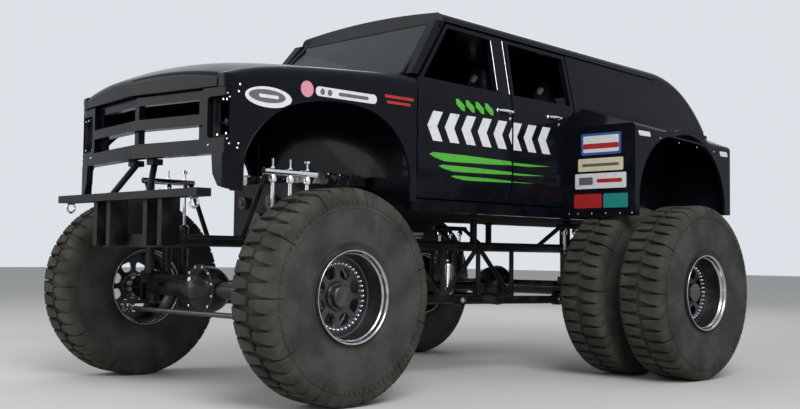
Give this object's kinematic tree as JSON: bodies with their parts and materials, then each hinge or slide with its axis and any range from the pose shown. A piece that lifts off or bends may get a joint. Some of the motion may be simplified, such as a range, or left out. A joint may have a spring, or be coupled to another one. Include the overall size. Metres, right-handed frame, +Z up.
{
  "type": "monster truck",
  "caption": "Six-tyred monster truck: black four-door utility wagon body on a tubular truss chassis with steered front wheels and twin rear wheels.",
  "frame": {"origin": "on the ground under the middle of the truck's outline", "axes": "+X forward along the longest extent, +Y to the driver's left, +Z up"},
  "size_m": [6.1, 4.1626, 2.9068],
  "materials": {
    "body_paint": "deep gloss black",
    "chassis_paint": "satin black",
    "axle_paint": "satin black",
    "tyre_rubber": "dusty dark rubber",
    "rim_steel": "worn grey steel",
    "engine_iron": "painted casting",
    "polished_chrome": "polished",
    "dash_plastic": "matt black",
    "seat_fabric": "black cloth",
    "window_pane": "clear"
  },
  "bodies": {
    "truck": {"body_side_left": "body_paint", "body_side_right": "body_paint", "bucket_seats": "seat_fabric", "chassis_frame": "chassis_paint", "dashboard": "dash_plastic", "driveline": "chassis_paint", "engine_block": "engine_iron", "fender_left": "body_paint", "fender_right": "body_paint", "firewall_cowl": "body_paint", "floor_pan": "body_paint", "front_axle": "axle_paint", "front_bumper": "chassis_paint", "grille_panel": "body_paint", "rear_axle": "axle_paint", "rear_flare_left": "body_paint", "rear_flare_right": "body_paint", "rear_hitch": "chassis_paint", "roof": "body_paint", "shock_absorbers": "polished_chrome", "steering_wheel": "dash_plastic", "suspension_links": "chassis_paint", "tail_frame": "body_paint", "valve_covers": "polished_chrome", "window_glass": "window_pane"},
    "knuckle_left": {"knuckle_left": "axle_paint"},
    "wheel_front_left": {"tyre_front_left": "tyre_rubber", "rim_front_left": "rim_steel"},
    "wheels_rear_left": {"tyres_rear_left": "tyre_rubber", "rims_rear_left": "rim_steel"},
    "door_front_left": {"door_front_left": "body_paint"},
    "door_rear_left": {"door_rear_left": "body_paint"},
    "knuckle_right": {"knuckle_right": "axle_paint"},
    "wheel_front_right": {"tyre_front_right": "tyre_rubber", "rim_front_right": "rim_steel"},
    "wheels_rear_right": {"tyres_rear_right": "tyre_rubber", "rims_rear_right": "rim_steel"},
    "door_front_right": {"door_front_right": "body_paint"},
    "door_rear_right": {"door_rear_right": "body_paint"},
    "tie_rod": {"tie_rod": "polished_chrome"},
    "hood": {"hood": "body_paint"},
    "tailgate": {"tailgate": "body_paint"}
  },
  "joints": [
    {"name": "steer_left", "type": "hinge", "parent": "truck", "child": "knuckle_left", "pos_m": [2.2, 0.95, 0.704], "axis": [0, 0, 1], "range_deg": [-25, 25]},
    {"name": "steer_right", "type": "hinge", "parent": "truck", "child": "knuckle_right", "pos_m": [2.2, -0.95, 0.704], "axis": [0, 0, 1], "range_deg": [-25, 25]},
    {"name": "tie_rod_pivot", "type": "hinge", "parent": "knuckle_left", "child": "tie_rod", "pos_m": [2.45, 0.95, 0.546], "axis": [0, 0, 1], "range_deg": [-25, 25]},
    {"name": "spin_front_left", "type": "hinge", "parent": "knuckle_left", "child": "wheel_front_left", "pos_m": [2.2, 1.237, 0.704], "axis": [0, 1, 0], "continuous": true},
    {"name": "spin_rear_left", "type": "hinge", "parent": "truck", "child": "wheels_rear_left", "pos_m": [-1.04, 1.589, 0.704], "axis": [0, 1, 0], "continuous": true},
    {"name": "door_front_left_hinge", "type": "hinge", "parent": "truck", "child": "door_front_left", "pos_m": [1.186, 0.98, 1.85], "axis": [0, 0, -1], "range_deg": [0, 65]},
    {"name": "door_rear_left_hinge", "type": "hinge", "parent": "truck", "child": "door_rear_left", "pos_m": [0.095, 0.98, 1.85], "axis": [0, 0, -1], "range_deg": [0, 65]},
    {"name": "spin_front_right", "type": "hinge", "parent": "knuckle_right", "child": "wheel_front_right", "pos_m": [2.2, -1.237, 0.704], "axis": [0, 1, 0], "continuous": true},
    {"name": "spin_rear_right", "type": "hinge", "parent": "truck", "child": "wheels_rear_right", "pos_m": [-1.04, -1.589, 0.704], "axis": [0, 1, 0], "continuous": true},
    {"name": "door_front_right_hinge", "type": "hinge", "parent": "truck", "child": "door_front_right", "pos_m": [1.186, -0.98, 1.85], "axis": [0, 0, 1], "range_deg": [0, 65]},
    {"name": "door_rear_right_hinge", "type": "hinge", "parent": "truck", "child": "door_rear_right", "pos_m": [0.095, -0.98, 1.85], "axis": [0, 0, 1], "range_deg": [0, 65]},
    {"name": "hood_hinge", "type": "hinge", "parent": "truck", "child": "hood", "pos_m": [1.29, 0, 2.34], "axis": [0, -1, 0], "range_deg": [0, 50]},
    {"name": "tailgate_hinge", "type": "hinge", "parent": "truck", "child": "tailgate", "pos_m": [-2.938, 0, 1.405], "axis": [0, -1, 0], "range_deg": [0, 90]}
  ],
  "couplings": [
    {"joint": "steer_right", "follows": "steer_left", "ratio": 1},
    {"joint": "tie_rod_pivot", "follows": "steer_left", "ratio": -1}
  ]
}
